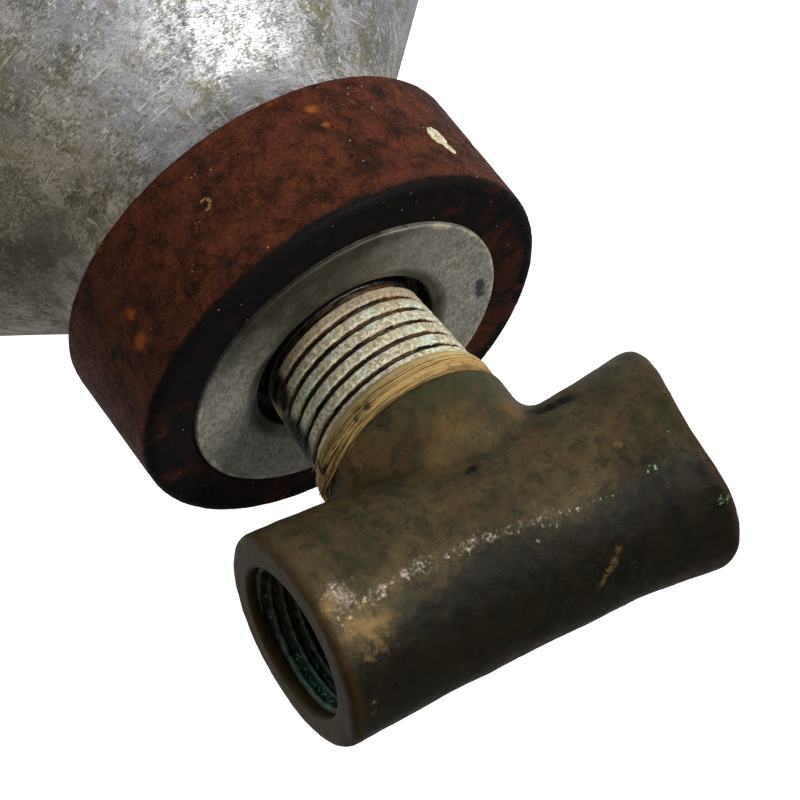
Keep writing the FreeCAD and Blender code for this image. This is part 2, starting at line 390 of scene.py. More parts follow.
def shell_finish():
    """Bare aluminium: scratched every way, stained olive and dark grey, with painted shade at the ring
    seat, round the mouth (there partly grime) and over the plate's near side.
    """
    p = Paint("scratched_aluminium")
    cloud = p.grain(9.0, 4.0, 0.6, 0.6)
    patch = p.grain(2.4, 5.0, 0.68, 0.4, shift=31.0)
    speck = p.grain(0.4, 3.0, 0.6, shift=11.0)
    rings = p.streaks((0, 0, 0), (0.25, 0.25, 1.0), 0.1, 4.0)
    slant = p.streaks((0, 38, 20), (0.18, 0.18, 1.0), 0.09, 4.0)
    steep = p.streaks((62, 0, -30), (0.16, 0.16, 1.0), 0.1, 4.0)
    fleck = p.grain(0.5, 5.0, 0.72, shift=19.0)
    weave = p.add(p.times(p.add(rings, steep), 0.26), p.times(p.add(slant, fleck), 0.24))
    light = p.add(weave, p.swing(cloud, 0.35), p.swing(patch, -0.35))
    p.colour = p.blend(p.between(light, 0.41, 0.6), (88, 86, 76), (184, 183, 184))
    p.coat(p.between(p.grain(7.0, 4.0, 0.6, 0.5, shift=113.0), 0.48, 0.6, 0.5), 146, 144, 152)
    height = p.axis("Z")
    on_wall = p.between(height, SEAT - 70, SEAT - 40, 0.0, 1.0)
    softer = p.between(on_wall, 0.0, 1.0, 0.45, 1.0)
    olive = p.between(p.grain(3.6, 6.0, 0.74, 0.8, shift=57.0), 0.51, 0.64, 0.7)
    p.coat(p.times(olive, softer), 112, 105, 70)
    p.coat(p.between(speck, 0.56, 0.7, 0.6), 50, 50, 50)
    dark = p.between(p.grain(2.4, 6.0, 0.76, 0.3, shift=77.0), 0.55, 0.68, 0.6)
    p.coat(p.times(dark, softer), 58, 60, 58)
    broad = p.grain(34.0, 4.0, 0.55, 0.4, shift=9.0)
    p.coat(p.between(broad, 0.42, 0.66, 0.4), 104, 101, 90)
    runs = p.streaks((0, 0, 0), (1.0, 1.0, 0.05), 3.2, 4.0, 0.2)
    p.coat(p.times(p.between(runs, 0.5, 0.66, 0.55), on_wall), 92, 88, 74)
    scores = p.streaks((8, 4, 0), (1.0, 1.0, 0.012), 0.5, 2.0)
    hoops = p.streaks((3, -2, 0), (0.06, 0.06, 1.0), 0.3, 3.0)
    scuff = p.chain("MAXIMUM", [p.between(scores, 0.63, 0.68), p.between(hoops, 0.64, 0.7)])
    p.coat(p.times(scuff, 0.7, p.between(broad, 0.6, 0.46)), 206, 206, 206)
    # darker towards the bottom, below about 26 mm, broken up by noise
    p.coat(p.between(p.add(height, p.times(patch, 14.0)), 26.0, 9.0, 0.75), 74, 66, 52)
    p.coat(p.between(p.ragged("warm", cloud, 0.8), 0.1, 0.9, 0.9), 244, 232, 204, kind="MULTIPLY")
    on_face = p.between(height, FACE - 1.0, FACE - 0.2)
    brushed = p.streaks((0, 0, 35), (1.0, 0.12, 1.0), 0.14, 4.0)
    fine = p.grain(0.5, 5.0, 0.7, shift=3.0)
    plate = p.add(p.times(brushed, 0.45), p.times(fine, 0.55))
    plate = p.blend(p.between(plate, 0.38, 0.62), (104, 100, 86), (172, 169, 156))
    p.colour = p.mix(p.times(on_face, 0.8), p.colour, plate)
    p.coat(p.between(p.ragged("burr", patch, 2.0), 0.35, 1.0, 0.7), 204, 192, 164)
    # painted shade, partly grime: dark olive at the ring seat, round the mouth and over the plate's
    # near side
    p.coat(p.between(p.ragged("shade_and_grime", fine, 0.5), 0.0, 1.0), 50, 47, 34)
    p.coat(p.between(p.ragged("brown", fleck, 4.0), 0.1, 0.7, 0.85), 52, 36, 18)
    p.coat(p.between(p.ragged("ink", fine, 2.4), 0.1, 0.7, 0.85), 20, 22, 44)
    normal = p.bumps((weave, 0.08), (patch, 0.03), (speck, 0.012))
    roughness = p.between(light, 0.4, 0.62, 0.47, 0.62)
    metal = p.between(light, 0.38, 0.6, 0.68, 0.35)
    return p.shade(roughness, normal, metal)


def rust_finish():
    """Old red-brown rust with black patches, orange blooms and pale flakes, and painted shade near
    black along the front corner.
    """
    p = Paint("old_rust")
    cloud = p.grain(4.5, 5.0, 0.62, 0.3)
    patch = p.grain(1.9, 6.0, 0.68, 0.2, shift=17.0)
    speck = p.grain(0.28, 3.0, 0.65, shift=7.0)
    p.colour = p.blend(p.between(patch, 0.3, 0.7), (38, 18, 11), (82, 42, 25))
    p.coat(p.between(cloud, 0.48, 0.66, 0.8), 24, 16, 12)
    p.coat(p.between(p.grain(2.2, 5.0, 0.7, 0.4, shift=43.0), 0.55, 0.72, 0.4), 110, 58, 26)
    p.coat(p.between(p.grain(5.0, 4.0, 0.6, 0.3, shift=63.0), 0.5, 0.62, 0.5), 84, 40, 28)
    p.coat(p.between(speck, 0.52, 0.68, 0.8), 20, 15, 12)
    p.coat(p.between(speck, 0.4, 0.3, 0.5), 112, 66, 40)
    # painted shade: near black over the front face's outer band and the side's front edge
    p.coat(p.between(p.ragged("corner", patch, 1.5), 0.1, 0.85), 15, 13, 13)
    p.coat(p.between(p.ragged("bloom", patch, 2.2), -0.1, 0.9, 0.8), 138, 74, 28)
    p.coat(p.between(p.ragged("flake", speck, 1.6), 0.05, 0.4, 0.9), 140, 108, 66)
    white = p.between(p.cells(0.9), 0.1, 0.05)
    p.coat(p.times(white, p.between(p.grain(2.5, 3.0, shift=91.0), 0.54, 0.6)), 180, 160, 130)
    normal = p.bumps((patch, 0.08), (speck, 0.05))
    roughness = p.between(speck, 0.35, 0.7, 0.75, 0.5)
    return p.shade(roughness, normal, 0.0, Specular_IOR_Level=0.04)


def chip_finish():
    """The last chip of cream paint on the ring."""
    p = Paint("cream_paint")
    patch = p.grain(0.7, 4.0, 0.6)
    p.colour = p.blend(p.between(patch, 0.4, 0.65), (190, 184, 156), (158, 142, 110))
    p.coat(p.between(p.grain(0.3, 2.0), 0.62, 0.7), 120, 84, 60)
    return p.shade(0.6, p.bumps((patch, 0.04)))


def stem_finish():
    """The stem's thread: pale corroded crests, and grooves painted near black as shade with a brass
    line on one flank that is partly a painted glint.
    """
    p = Paint("corroded_thread")
    patch = p.grain(0.5, 5.0, 0.7, 0.2)
    speck = p.grain(0.16, 3.0, 0.65)
    place = p.grain(4.0, 2.0, shift=13.0)
    p.colour = p.blend(p.between(patch, 0.36, 0.64), (214, 209, 186), (150, 138, 102))
    p.coat(p.between(place, 0.52, 0.66, 0.6), 196, 216, 196)
    p.coat(p.between(p.field("tan"), 0.0, 1.0, 0.75), 158, 138, 108)
    p.coat(p.between(speck, 0.53, 0.66, 0.85), 84, 68, 54)
    p.coat(p.between(p.grain(0.45, 3.0, shift=3.0), 0.55, 0.66, 0.7), 116, 98, 70)
    p.coat(p.between(p.streaks((0, 0, 0), (1.0, 1.0, 0.25), 0.3, 3.0), 0.6, 0.7, 0.6), 100, 92, 84)
    # painted shade: grooves near black, with a brass line along one flank that is partly a painted
    # glint
    flank = p.between(p.field("flank"), 0.0, 0.8)
    gleam = p.times(flank, p.between(p.grain(2.4, 3.0), 0.38, 0.54), 0.8)
    groove = p.blend(gleam, (16, 13, 12), (118, 82, 42))
    share = p.between(p.ragged("crest", patch, 0.55), 0.42, 0.58)
    # takes the crests to the dark groove colour over two patches
    share = p.times(share, p.between(p.field("dark_crests"), 0.0, 1.0, 0.0, 1.0))
    p.colour = p.mix(share, groove, p.colour)
    metal = p.between(share, 0.2, 0.8, 0.0, 0.35)
    normal = p.bumps((patch, 0.04), (speck, 0.04))
    return p.shade(p.between(share, 0.0, 1.0, 0.7, 0.32), normal, metal)


def hemp_finish():
    """Golden-brown hemp, with painted shade in its crevices and gaps."""
    p = Paint("hemp_fibre")
    tint = p.field("tint")
    patch = p.grain(1.2, 4.0, 0.6)
    p.colour = p.blend(p.between(tint, 0.1, 0.9), (116, 90, 48), (166, 137, 84))
    p.coat(p.between(patch, 0.5, 0.68, 0.5), 78, 56, 28)
    p.coat(p.times(p.between(p.ragged("rise", patch, 0.8), 0.5, 0.2), 0.4), 186, 170, 122)
    # painted shade in the hemp's crevices and gaps
    p.coat(p.between(p.field("crevice_shade"), 0.0, 1.0, 0.9), 40, 28, 14)
    normal = p.bumps((p.grain(0.12, 2.0), 0.02))
    return p.shade(0.72, normal, 0.0, Specular_IOR_Level=0.25)


def patina_finish():
    """Dark olive-brown patina on cast brass, rubbed through along its near side with a painted
    highlight on the rub; painted shade, partly dark patina, lies near black over its upper side and in
    its bores.
    """
    p = Paint("brass_patina")
    cloud = p.grain(4.5, 5.0, 0.62, 0.6)
    patch = p.grain(1.4, 5.0, 0.68, 0.4, shift=23.0)
    speck = p.grain(0.26, 3.0, 0.62, shift=5.0)
    p.colour = p.blend(p.between(cloud, 0.34, 0.66), (44, 41, 27), (72, 62, 38))
    p.coat(p.between(patch, 0.48, 0.7, 0.6), 34, 30, 18)
    p.coat(p.between(p.grain(3.0, 4.0, 0.6, 0.7, shift=71.0), 0.53, 0.68, 0.55), 74, 50, 34)
    p.coat(p.between(p.ragged("ochre", patch, 4.0), 0.1, 1.2, 0.55), 104, 80, 42)
    p.coat(p.between(p.grain(0.8, 4.0, 0.7, 0.3, shift=37.0), 0.58, 0.7, 0.25), 108, 94, 66)
    p.coat(p.between(p.ragged("green", patch, 2.0), 0.1, 0.9, 0.65), 50, 54, 32)
    # painted shade, partly dark patina: near black over the upper side, in the bores and on black marks
    shade_and_patina_mask = p.add(p.ragged("black", cloud, 1.2), p.swing(patch, 1.2))
    black = p.between(shade_and_patina_mask, 0.05, 1.05)
    shade_and_patina_black = p.blend(p.between(cloud, 0.4, 0.62), (7, 7, 5), (20, 17, 10))
    p.colour = p.mix(p.times(black, 0.94), p.colour, shade_and_patina_black)
    p.coat(p.times(p.field("rim"), 0.6), 60, 45, 24)
    # painted highlight, partly rubbed metal: a pale streak along the near ridge
    grit = p.ragged("wear_and_sheen", p.grain(0.45, 3.0, 0.65, shift=29.0), 2.5)
    wear_and_sheen = p.between(p.add(grit, p.swing(patch, 2.2)), 0.3, 1.2)
    p.coat(p.times(wear_and_sheen, 0.75), 126, 114, 102)
    p.coat(p.times(p.between(p.ragged("gold", patch, 3.0), 0.15, 1.1), 0.8), 110, 88, 52)
    fleck = p.between(p.grain(0.5, 4.0, 0.7, shift=83.0), 0.5, 0.6)
    p.coat(p.times(p.between(p.ragged("verdigris", patch, 3.0), 0.3, 0.7), fleck, 0.85), 118, 140, 112)
    p.coat(p.between(speck, 0.58, 0.7, 0.6), 16, 14, 9)
    metal = p.between(wear_and_sheen, 0.0, 1.0, 0.75, 0.25)
    roughness = p.between(wear_and_sheen, 0.0, 1.0, 0.34, 0.54)
    normal = p.bumps((cloud, 0.1), (patch, 0.07), (speck, 0.03))
    return p.shade(roughness, normal, metal, Specular_IOR_Level=0.08)


def port_finish():
    """The dark threads inside a port, with a green bloom on one side."""
    p = Paint("port_thread")
    patch = p.grain(0.9, 4.0, 0.68)
    speck = p.grain(0.22, 3.0, 0.6)
    p.colour = p.blend(p.between(patch, 0.42, 0.66), (22, 21, 14), (84, 74, 42))
    low = p.ragged("low", patch, 2.2)
    low = p.times(p.between(low, 0.35, 1.0), p.between(speck, 0.42, 0.58))
    p.coat(low, 24, 86, 70)
    return p.shade(0.5, p.bumps((patch, 0.12)), 0.2)


def crystal_finish():
    """Green-blue copper salts."""
    p = Paint("copper_salts")
    p.colour = p.blend(p.between(p.grain(0.6, 2.0), 0.4, 0.62), (28, 116, 98), (126, 196, 170))
    return p.shade(0.45, p.bumps((p.grain(0.1, 2.0), 0.02)))


SEEN_GLOW = 0.9
FLOOR_GLOW = 0.3


def floor_finish():
    """A plain pale floor, which looks evenly white and lights what stands on it less."""
    p = Paint("pale_floor")
    seen = p.put("ShaderNodeLightPath").outputs["Is Camera Ray"]
    inputs = {"Base Color": tone(225, 225, 225), "Roughness": 0.9, "Emission Color": WHITE}
    inputs["Emission Strength"] = p.between(seen, 0.0, 1.0, SEEN_GLOW, FLOOR_GLOW)
    shader = p.put("ShaderNodeBsdfPrincipled", inputs)
    p.put("ShaderNodeOutputMaterial", {0: shader.outputs[0]})
    return p.material


# ---- the shell

SHELL_TURNS = 296
WALL = 5.5
NECK_RADIUS = 17.8
ROOT_RADIUS = 19.0
ROOT_LENGTH = 6.9
SHOULDER_ANGLE = math.radians(44.5)
SLOPE = math.tan(SHOULDER_ANGLE)
SHOULDER_SHIFT = 8 / math.cos(SHOULDER_ANGLE)
NECK_BORE = 8.0
MOUTH_RADIUS = 10.4
MOUTH_DEPTH = 3.2
DISH_RADIUS = 28.0
DISH_DEPTH = 2.5
BASE_THICKNESS = 11.0
# Angle round Z of the painted shade on the plate's near side.
SHADE_SIDE = -66


def shell_line():
    """The shell's half section: up the outside, over the neck, down its mouth and round the inside."""
    root = SEAT - ROOT_LENGTH
    wall_top = root - (BODY_RADIUS - ROOT_RADIUS) / SLOPE
    inner = BODY_RADIUS - WALL
    inner_top = root - (inner + SHOULDER_SHIFT - ROOT_RADIUS) / SLOPE
    inner_neck = root - (NECK_BORE + SHOULDER_SHIFT - ROOT_RADIUS) / SLOPE
    floor = FACE - MOUTH_DEPTH
    corners = [
        (0, DISH_DEPTH, 0),
        (DISH_RADIUS, 0, 6),
        (BODY_RADIUS, 0, 14),
        (BODY_RADIUS, wall_top, 30),
        (ROOT_RADIUS, root, 6),
        (ROOT_RADIUS, SEAT - 0.05, 0.3),
        (NECK_RADIUS, SEAT - 0.05, 0),
        (NECK_RADIUS, FACE, 0.25),
        (MOUTH_RADIUS + 1.5, FACE - 0.05, 1.0),
        (MOUTH_RADIUS, FACE - 0.5, 0.3),
        (MOUTH_RADIUS, floor, 0),
        (NECK_BORE + 1.2, floor, 0),
        (NECK_BORE, inner_neck + 2, 0),
        (NECK_BORE, inner_neck, 3),
        (inner, inner_top, 26),
        (inner, BASE_THICKNESS, 10),
        (0, BASE_THICKNESS, 0),
    ]

    def step(at):
        outside = at[0] > NECK_RADIUS - 0.5
        if at[1] > SEAT - 0.5 or (outside and at[1] > SEAT - 24):
            return 0.8
        return 2.5 if outside and at[1] > SEAT - 60 else 9
    return divided(rounded(corners, closed=False), False, step)


def shell():
    """The one-piece drawn shell."""
    points, faces = turned(shell_line(), SHELL_TURNS, closed=False)
    angle, radius = polar(points)
    height = points[:, 2]
    on_face = ease(height, FACE - 1.2, FACE - 0.3)
    on_face *= ease(radius, MOUTH_RADIUS + 0.3, MOUTH_RADIUS + 1.5)
    burr = np.exp(-((radius - NECK_RADIUS + 0.25) / 0.3) ** 2) * on_face
    points[:, 2] += burr * (0.02 + 0.06 * lumps(points, 3.0))
    outside = (radius > NECK_RADIUS + 0.3) & (height < SEAT - 1)
    dents = 0.12 * lumps(points, 16.0) + 0.03 * lumps(points, 4.0, 8.0)
    near_wall = ease(radius, 20, 30) * (radius < BODY_RADIUS - 0.2)
    points = pushed_out(points, -np.abs(dents) * outside * near_wall)
    brown = round_spots(angle, height, 24.0, [
        (-80.8, SEAT - 12.2, 0.7, 1.0), (-80.8, SEAT - 11.0, 0.5, 0.7),
        (-83.0, SEAT - 14.0, 0.4, 0.8), (-62.0, SEAT - 26.0, 0.5, 1.2),
        (20.0, SEAT - 20.0, 0.7, 1.5), (140.0, SEAT - 17.0, 0.6, 1.4),
    ])
    ink = round_spots(angle, height, 29.0, [
        (-56.9, SEAT - 17.0, 0.35, 0.35), (-59.4, SEAT - 18.6, 0.4, 0.3),
        (35.0, SEAT - 24.0, 0.4, 0.4),
    ])
    ink = np.maximum(ink, 1.1 * stroke(points, (-15.7, -2.7, FACE), (-16.2, -0.4, FACE), 0.8))
    # Painted shade: darker where the shell meets the ring, round the mouth (there partly grime) and
    # over the plate's near side.
    shade_and_grime = 0.8 * ease(height, SEAT - 1.5, SEAT - 0.2) * (radius > NECK_RADIUS)
    round_hole = ease(radius, MOUTH_RADIUS + 2.6, MOUTH_RADIUS + 0.6) * (height > FACE - 4)
    shade_and_grime = np.maximum(shade_and_grime, (0.75 + 0.4 * lumps(points, 2.5)) * round_hole)
    degrees = np.degrees(angle)
    from_near = (degrees - SHADE_SIDE + 180) % 360 - 180
    at_rim = ease(radius, 15.0, 17.2)
    near_side_shade = np.exp(-(from_near / 50) ** 2) * (0.85 + 0.3 * at_rim + 0.2 * lumps(points, 2.0))
    shade_and_grime = np.maximum(shade_and_grime, near_side_shade * (height > FACE - 0.6))
    warm = ease(degrees, -75, -20) * ease(-degrees, -150, -60) * (height < SEAT - 1)
    piece = make_mesh("shell_skin", points, faces, {
        "brown": brown, "ink": ink, "shade_and_grime": shade_and_grime, "warm": warm,
        "burr": burr * (0.5 + 1.2 * lumps(points, 2.0, 3.0)),
    })
    return finish_piece(piece, shell_finish(), "cylinder_shell")


# ---- the ring

RING_TURNS = 720
RING_BORE = 17.82


def ring():
    """The rusted steel ring, pitted all over and rounded by wear at its front corner."""
    corners = [
        (RING_BORE, SEAT, 0.15),
        (RING_RADIUS, SEAT, 0.5),
        (RING_RADIUS, RING_TOP, 1.1),
        (RING_BORE, RING_TOP, 0.2),
    ]

    def step(at):
        return 1.5 if at[0] < RING_BORE + 0.2 else 0.28
    line = divided(rounded(corners, closed=True, arc_steps=6), True, step)
    points, faces = turned(line, RING_TURNS, closed=True)
    angle, radius = polar(points)
    shown = ease(radius, RING_BORE + 0.1, RING_BORE + 0.8)
    wear = 0.16 * rough(points, 6.0) + 0.07 * rough(points, 1.3, seed=5.0)
    pits = ease(rough(points, 0.9, 3, 9.0), 0.35, 0.8)
    depth = (np.abs(wear) * 0.5 + 0.09 * pits - 0.08) * shown
    share = ease(radius, RING_RADIUS - 1.4, RING_RADIUS - 0.2)
    upward = np.sign(points[:, 2] - (SEAT + RING_TOP) / 2) * (1 - share)
    points = pushed_out(points, -share * depth)
    points[:, 2] -= upward * depth
    height = points[:, 2]
    # Painted shade: the corner field paints the front face's outer band and the side's front edge near
    # black, more so on the near side.
    front = ease(height, RING_TOP - 0.9, RING_TOP - 0.3)
    inward = ease(radius, RING_BORE + 0.1, RING_BORE + 1.8)
    cloudy = 0.55 * lumps(points, 3.0, 3.0) + 0.3 * lumps(points, 1.2, 5.0)
    outer_band = ease(radius, RING_RADIUS - 3.0, RING_RADIUS - 1.2)
    corner = front * (0.1 * inward + 0.8 * outer_band + 1.3 * cloudy) - 0.3 * (1 - front)
    near = 0.5 + 0.5 * np.cos(angle - NEAR_SIDE)
    on_side = ease(height, RING_TOP - 1.5, RING_TOP - 0.5) * (0.45 + 0.45 * near)
    corner = np.maximum(corner, on_side + 0.35 * cloudy)
    bloom = round_spots(angle, height - SEAT, RING_RADIUS, [
        (-21.4, 10.8, 1.5, 1.3), (-93.2, 3.1, 0.9, 0.6), (-93.8, 5.4, 0.9, 0.5),
        (-25.0, 8.0, 0.8, 0.8), (60.0, 5.0, 2.0, 1.2), (150.0, 9.0, 1.6, 1.8),
    ])
    bloom = np.where(front > 0.5, -9, bloom)
    away = round_spots(angle, height - SEAT, RING_RADIUS, [(-57.8, 6.3, 1.0, 0.9)])
    flake = 0.55 - np.abs(away - 0.4) * 1.8 - 0.35 * np.abs(lumps(points, 0.7, 2.0))
    flake = flake - 0.5 * ease(np.degrees(angle), -57.6, -56.6)
    piece = make_mesh("rusted_ring", points, faces, {"corner": corner, "bloom": bloom, "flake": flake})
    return finish_piece(piece, rust_finish(), "neck_ring")


CHIP_SIDE = math.radians(-123.2)
CHIP_HEIGHT = 9.9
CHIP_HALF_LENGTH = 1.95
CHIP_LEAN = math.radians(-9)


def paint_chip():
    """A thin chip of cream paint on the ring's side: an oval leaf with a narrow tail."""
    rows, columns = 60, 14
    along = np.linspace(-1, 1, rows)
    leaf = 0.95 * np.sqrt(np.clip(1 - ((along + 0.34) / 0.66) ** 2, 0, 1))
    tail = 0.36 * np.sqrt(np.clip(1 - ((along - 0.45) / 0.55) ** 2, 0, 1))
    half = smooth_high(leaf, tail, 0.15) + 0.012
    half = half + 0.05 * np.sin(along * 17) * ease(half, 0.1, 0.3)
    bend = 0.35 * ease(along, 0.0, 1.0)
    across = np.linspace(-1, 1, columns)
    loop = np.concatenate([across, across[::-1]])
    top = np.concatenate([np.ones(columns), np.zeros(columns)])
    sideways = bend[:, None] + half[:, None] * loop[None, :]
    up = CHIP_HALF_LENGTH * along[:, None] + 0 * loop[None, :]
    turned_side = sideways * math.cos(CHIP_LEAN) - up * math.sin(CHIP_LEAN)
    turned_up = sideways * math.sin(CHIP_LEAN) + up * math.cos(CHIP_LEAN)
    curl = 0.05 + 0.09 * np.abs(loop[None, :]) ** 3 * (half[:, None] > 0.1)
    radius = RING_RADIUS - 0.3 + top[None, :] * (0.33 + curl)
    turn = CHIP_SIDE - turned_side / RING_RADIUS
    points = at_angle(radius, turn, SEAT + CHIP_HEIGHT + turned_up).reshape(-1, 3)
    points = pushed_out(points, 0.04 * lumps(points, 0.5))
    count = 2 * columns
    first = np.arange(count)
    ends = np.stack([first, (rows - 1) * count + first[::-1]])
    piece = make_mesh("cream_paint_chip", points, [lattice(rows, count, False, True), ends])
    return finish_piece(piece, chip_finish())


# ---- the tee

WAIST_RADIUS = 10.75
WAIST_HALF = 11.0
FLARE_A = 0.6
FLARE_B = 1.25
SKEW_A = math.radians(4.3)
END_B_MIDDLE = 22.3
BRANCH_RADIUS = 10.35
CASTING_RADIUS = 11.9
CROTCH_ROUND = 1.7
END_ROUND = 1.3
EDGE_ROUND = 0.5
STEM_RADIUS = 9.9
STEM_LENGTH = 26.0
STEM_BORE = 4.0
RUN_BORE = 6.0
PORT_DEPTH = 12.0
PORT_CONE = 1.5
PORT_MAJOR = 8.33
GRID = 0.3
WORN_SIDE = 167
# Angle round the run of the rubbed streak that is also a painted highlight.
WEAR_AND_SHEEN_RIDGE = 155


def end_wear(across, up):
    """How much the -X end has lost to wear on its near side, from 0 to 1."""
    turn = np.degrees(np.arctan2(up, across))
    from_near = (turn - WORN_SIDE + 180) % 360 - 180
    return np.exp(-(from_near / 42) ** 2) * ease(np.hypot(across, up), 5, 11.4)


def end_reach(side, across, up):
    """How far along the run the end face lies at a point across it."""
    if side > 0:
        return END_A - math.tan(SKEW_A) * (across + WAIST_RADIUS + FLARE_A)
    return END_B_MIDDLE + 0.05 * across - 0.045 * up - 2.4 * end_wear(across, up)


def run_outside(points):
    """Distance to the run's outer surface, its two worn ends included."""
    x, y, z = points.T
    radius = np.hypot(y, z)
    past = np.maximum(np.abs(x) - WAIST_HALF, 0)
    share_a = past / (END_A - WAIST_HALF)
    share_b = past / (END_B - WAIST_HALF)
    wanted = WAIST_RADIUS + np.where(x > 0, FLARE_A * share_a, FLARE_B * share_b ** 1.2)
    side = radius - wanted
    end_a = (x - end_reach(1, y, z)) * math.cos(SKEW_A)
    end_b = -x - end_reach(-1, y, z)
    closed = smooth_high(side, end_a, END_ROUND)
    return smooth_high(closed, end_b * 0.95, END_ROUND)


def bores(points):
    """Distance to the ports, the gas way along the run and the way down the branch."""
    x, y, z = points.T
    radius = np.hypot(y, z)
    port = PORT_MAJOR + 0.03
    way_a = END_A - PORT_DEPTH
    way_b = END_B - PORT_DEPTH
    cone = np.maximum(ease(x, way_a - PORT_CONE, way_a), ease(-x, way_b - PORT_CONE, way_b))
    lip_a = ease(x - end_reach(1, y, z), -1.7, -1.1)
    lip_b = ease(-x - end_reach(-1, y, z), -1.7, -1.1)
    lip = 0.45 * np.maximum(lip_a, lip_b)
    along = radius - (RUN_BORE + (port - RUN_BORE) * cone - lip)
    down = np.maximum(np.hypot(x, y) - STEM_BORE, z)
    return np.minimum(along, down)


DENTS = [(21.5, -10.4, 3.4, 2.2, 0.3), (-5.0, -10.6, -1.5, 3.0, 0.12), (10.5, -9.8, -4.0, 2.6, 0.12),
         (-17.0, -9.0, 6.5, 2.4, 0.15), (4.0, 2.0, 10.6, 3.4, 0.14), (-14.0, 8.0, 7.5, 2.6, 0.2),
         (15.0, 9.0, 4.0, 3.2, 0.2), (24.6, 3.0, 9.5, 2.2, 0.3), (6.0, -8.5, -4.1, 0.9, -0.3),
         (-8.6, -8.1, -7.3, 1.1, 0.35), (-9.8, -8.3, -7.2, 1.1, 0.35), (-11.0, -8.4, -7.1, 1.0, 0.25)]


def casting_distance(points):
    """Distance to the cast tee's surface, from points in mm about the run's axis."""
    x, y, z = points.T
    run = run_outside(points)
    fade = 3.0 * ease(z, -9.0, -1.0)
    branch = np.maximum(np.hypot(x, y) - BRANCH_RADIUS + fade, -z - BRANCH_LENGTH)
    branch = np.maximum(branch, z)
    solid = smooth_low(run, branch, CROTCH_ROUND)
    solid = smooth_high(solid, -z - BRANCH_LENGTH, EDGE_ROUND)
    return smooth_high(solid, -bores(points), EDGE_ROUND)


def grid_surface(distance, low, high, cell):
    """Quads over the zero surface of a distance function: one point in each crossed cell."""
    counts = np.ceil((high - low) / cell).astype(int) + 1
    axes = [low[k] + np.arange(counts[k]) * cell for k in range(3)]
    corners = np.stack(np.meshgrid(*axes, indexing="ij"), axis=-1).reshape(-1, 3)
    value = distance(corners).reshape(counts)
    total = np.zeros((*(counts - 1), 3))
    hits = np.zeros(counts - 1)
    edges = []
    for k in range(3):
        starts = np.delete(value, -1, axis=k)
        ends = np.delete(value, 0, axis=k)
        cells = np.argwhere((starts < 0) != (ends < 0))
        start, end = starts[tuple(cells.T)], ends[tuple(cells.T)]
        spot = cells.astype(float)
        spot[:, k] += start / (start - end)
        ring = []
        for a, b in ((0, 0), (1, 0), (1, 1), (0, 1)):
            at = cells.copy()
            at[:, (k + 1) % 3] -= a
            at[:, (k + 2) % 3] -= b
            ring.append(at)
            good = np.all((at >= 0) & (at < counts - 1), axis=1)
            where = tuple(at[good].T)
            np.add.at(total, where, spot[good])
            np.add.at(hits, where, 1)
        edges.append((ring, start < 0))
    used = hits > 0
    number = np.full(counts - 1, -1)
    number[used] = np.arange(used.sum())
    points = low + total[used] / hits[used][:, None] * cell
    quads = []
    for ring, below in edges:
        quad = np.stack([number[tuple(at.T)] for at in ring], axis=1)
        quad[~below] = quad[~below][:, ::-1]
        quads.append(quad)
    return points, np.concatenate(quads)


def gradient(distance, points):
    """Unit direction in which a distance function grows."""
    step = 0.02
    parts = []
    for k in range(3):
        shift = np.zeros(3)
        shift[k] = step
        parts.append(distance(points + shift) - distance(points - shift))
    slope = np.stack(parts, axis=1)
    return slope / np.maximum(np.linalg.norm(slope, axis=1), 1e-9)[:, None]


def casting():
    """The cast tee: run, branch and their crotch in one skin."""
    margin = 1.5 * GRID
    low = np.array([-END_B, -CASTING_RADIUS, -BRANCH_LENGTH]) - margin
    high = np.array([END_A, CASTING_RADIUS, CASTING_RADIUS]) + margin
    points, quads = grid_surface(casting_distance, low, high, GRID)
    for _ in range(3):
        out = gradient(casting_distance, points)
        points = points - out * np.clip(casting_distance(points), -0.2, 0.2)[:, None]
    out = gradient(casting_distance, points)
    from_axis = np.hypot(points[:, 1], points[:, 2])
    outer = ease(from_axis, 8.4, 9.6)
    outer *= ease(points[:, 2], -BRANCH_LENGTH, -BRANCH_LENGTH + 0.8)
    moved = 0.13 * lumps(points, 7.0, 2.0) + 0.045 * rough(points, 1.8, 3, 6.0) - 0.02
    for x, y, z, size, depth in DENTS:
        near = np.linalg.norm(points - (x, y, z), axis=1) / size
        moved -= depth * np.exp(-2.5 * near ** 2)
    points = points + out * (moved * outer)[:, None]
    fields = tee_marks(points)
    points[:, 2] += AXIS
    piece = make_mesh("tee_casting", points, [quads], fields)
    return finish_piece(piece, patina_finish(), "tee_body")


